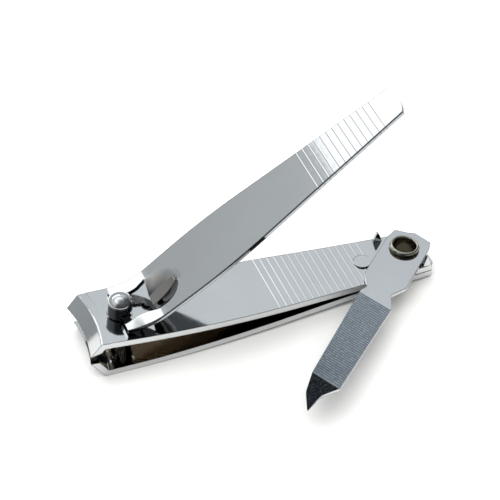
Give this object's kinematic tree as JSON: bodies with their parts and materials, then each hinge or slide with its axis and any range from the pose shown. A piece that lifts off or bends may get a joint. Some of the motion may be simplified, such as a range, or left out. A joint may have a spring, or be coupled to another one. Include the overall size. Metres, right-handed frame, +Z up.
{
  "type": "nail clipper",
  "caption": "Large lever nail clipper with two sprung jaw arms, a swivelling headed pin, a ridged press lever and a swing-out file with a hooked cleaner tip.",
  "frame": {"origin": "centre of the lower mouth of the tail eyelet, on its axis; the resting surface is 0.25 mm below", "axes": "+X along the arms from the jaws to the tail, +Z up from the resting surface, +Y to the side away from the swung-out file"},
  "size_m": [0.0817, 0.0476, 0.0485],
  "materials": {
    "arm_chrome": "bright chrome plate over spring steel, ridged thumb zone",
    "lever_chrome": "bright chrome plate, ridged tip",
    "pin_chrome": "polished turned steel",
    "file_chrome": "satin head and cleaner tip with a fine cross-cut file face",
    "eyelet_brass": "antique nickel over brass, darkened bore"
  },
  "bodies": {
    "lower_arm": {"lower_arm": "arm_chrome"},
    "upper_arm": {"upper_arm": "arm_chrome", "tail_eyelet": "eyelet_brass"},
    "pivot_pin": {"pivot_pin": "pin_chrome"},
    "lever": {"lever": "lever_chrome"},
    "nail_file": {"nail_file": "file_chrome"}
  },
  "joints": [
    {"name": "jaw_close", "type": "hinge", "parent": "lower_arm", "child": "upper_arm", "pos_m": [0, 0, 0.00195], "axis": [0, -1, 0], "range_deg": [0, 1.45], "stiffness_Nm_per_rad": 2, "springref_deg": -1.72},
    {"name": "pin_swivel", "type": "hinge", "parent": "lower_arm", "child": "pivot_pin", "pos_m": [-0.0657, 0, 0.00845], "axis": [0.0872, 0, 0.9962], "continuous": true},
    {"name": "lever_press", "type": "hinge", "parent": "pivot_pin", "child": "lever", "pos_m": [-0.06525, 0, 0.00955], "axis": [0, 1, 0], "range_deg": [0, 12]},
    {"name": "file_swing", "type": "hinge", "parent": "upper_arm", "child": "nail_file", "pos_m": [0, 0, 0], "axis": [0.075, 0, 0.9972], "range_deg": [-43.5, 0]}
  ],
  "couplings": [
    {"joint": "jaw_close", "follows": "lever_press", "ratio": 0.1208}
  ]
}
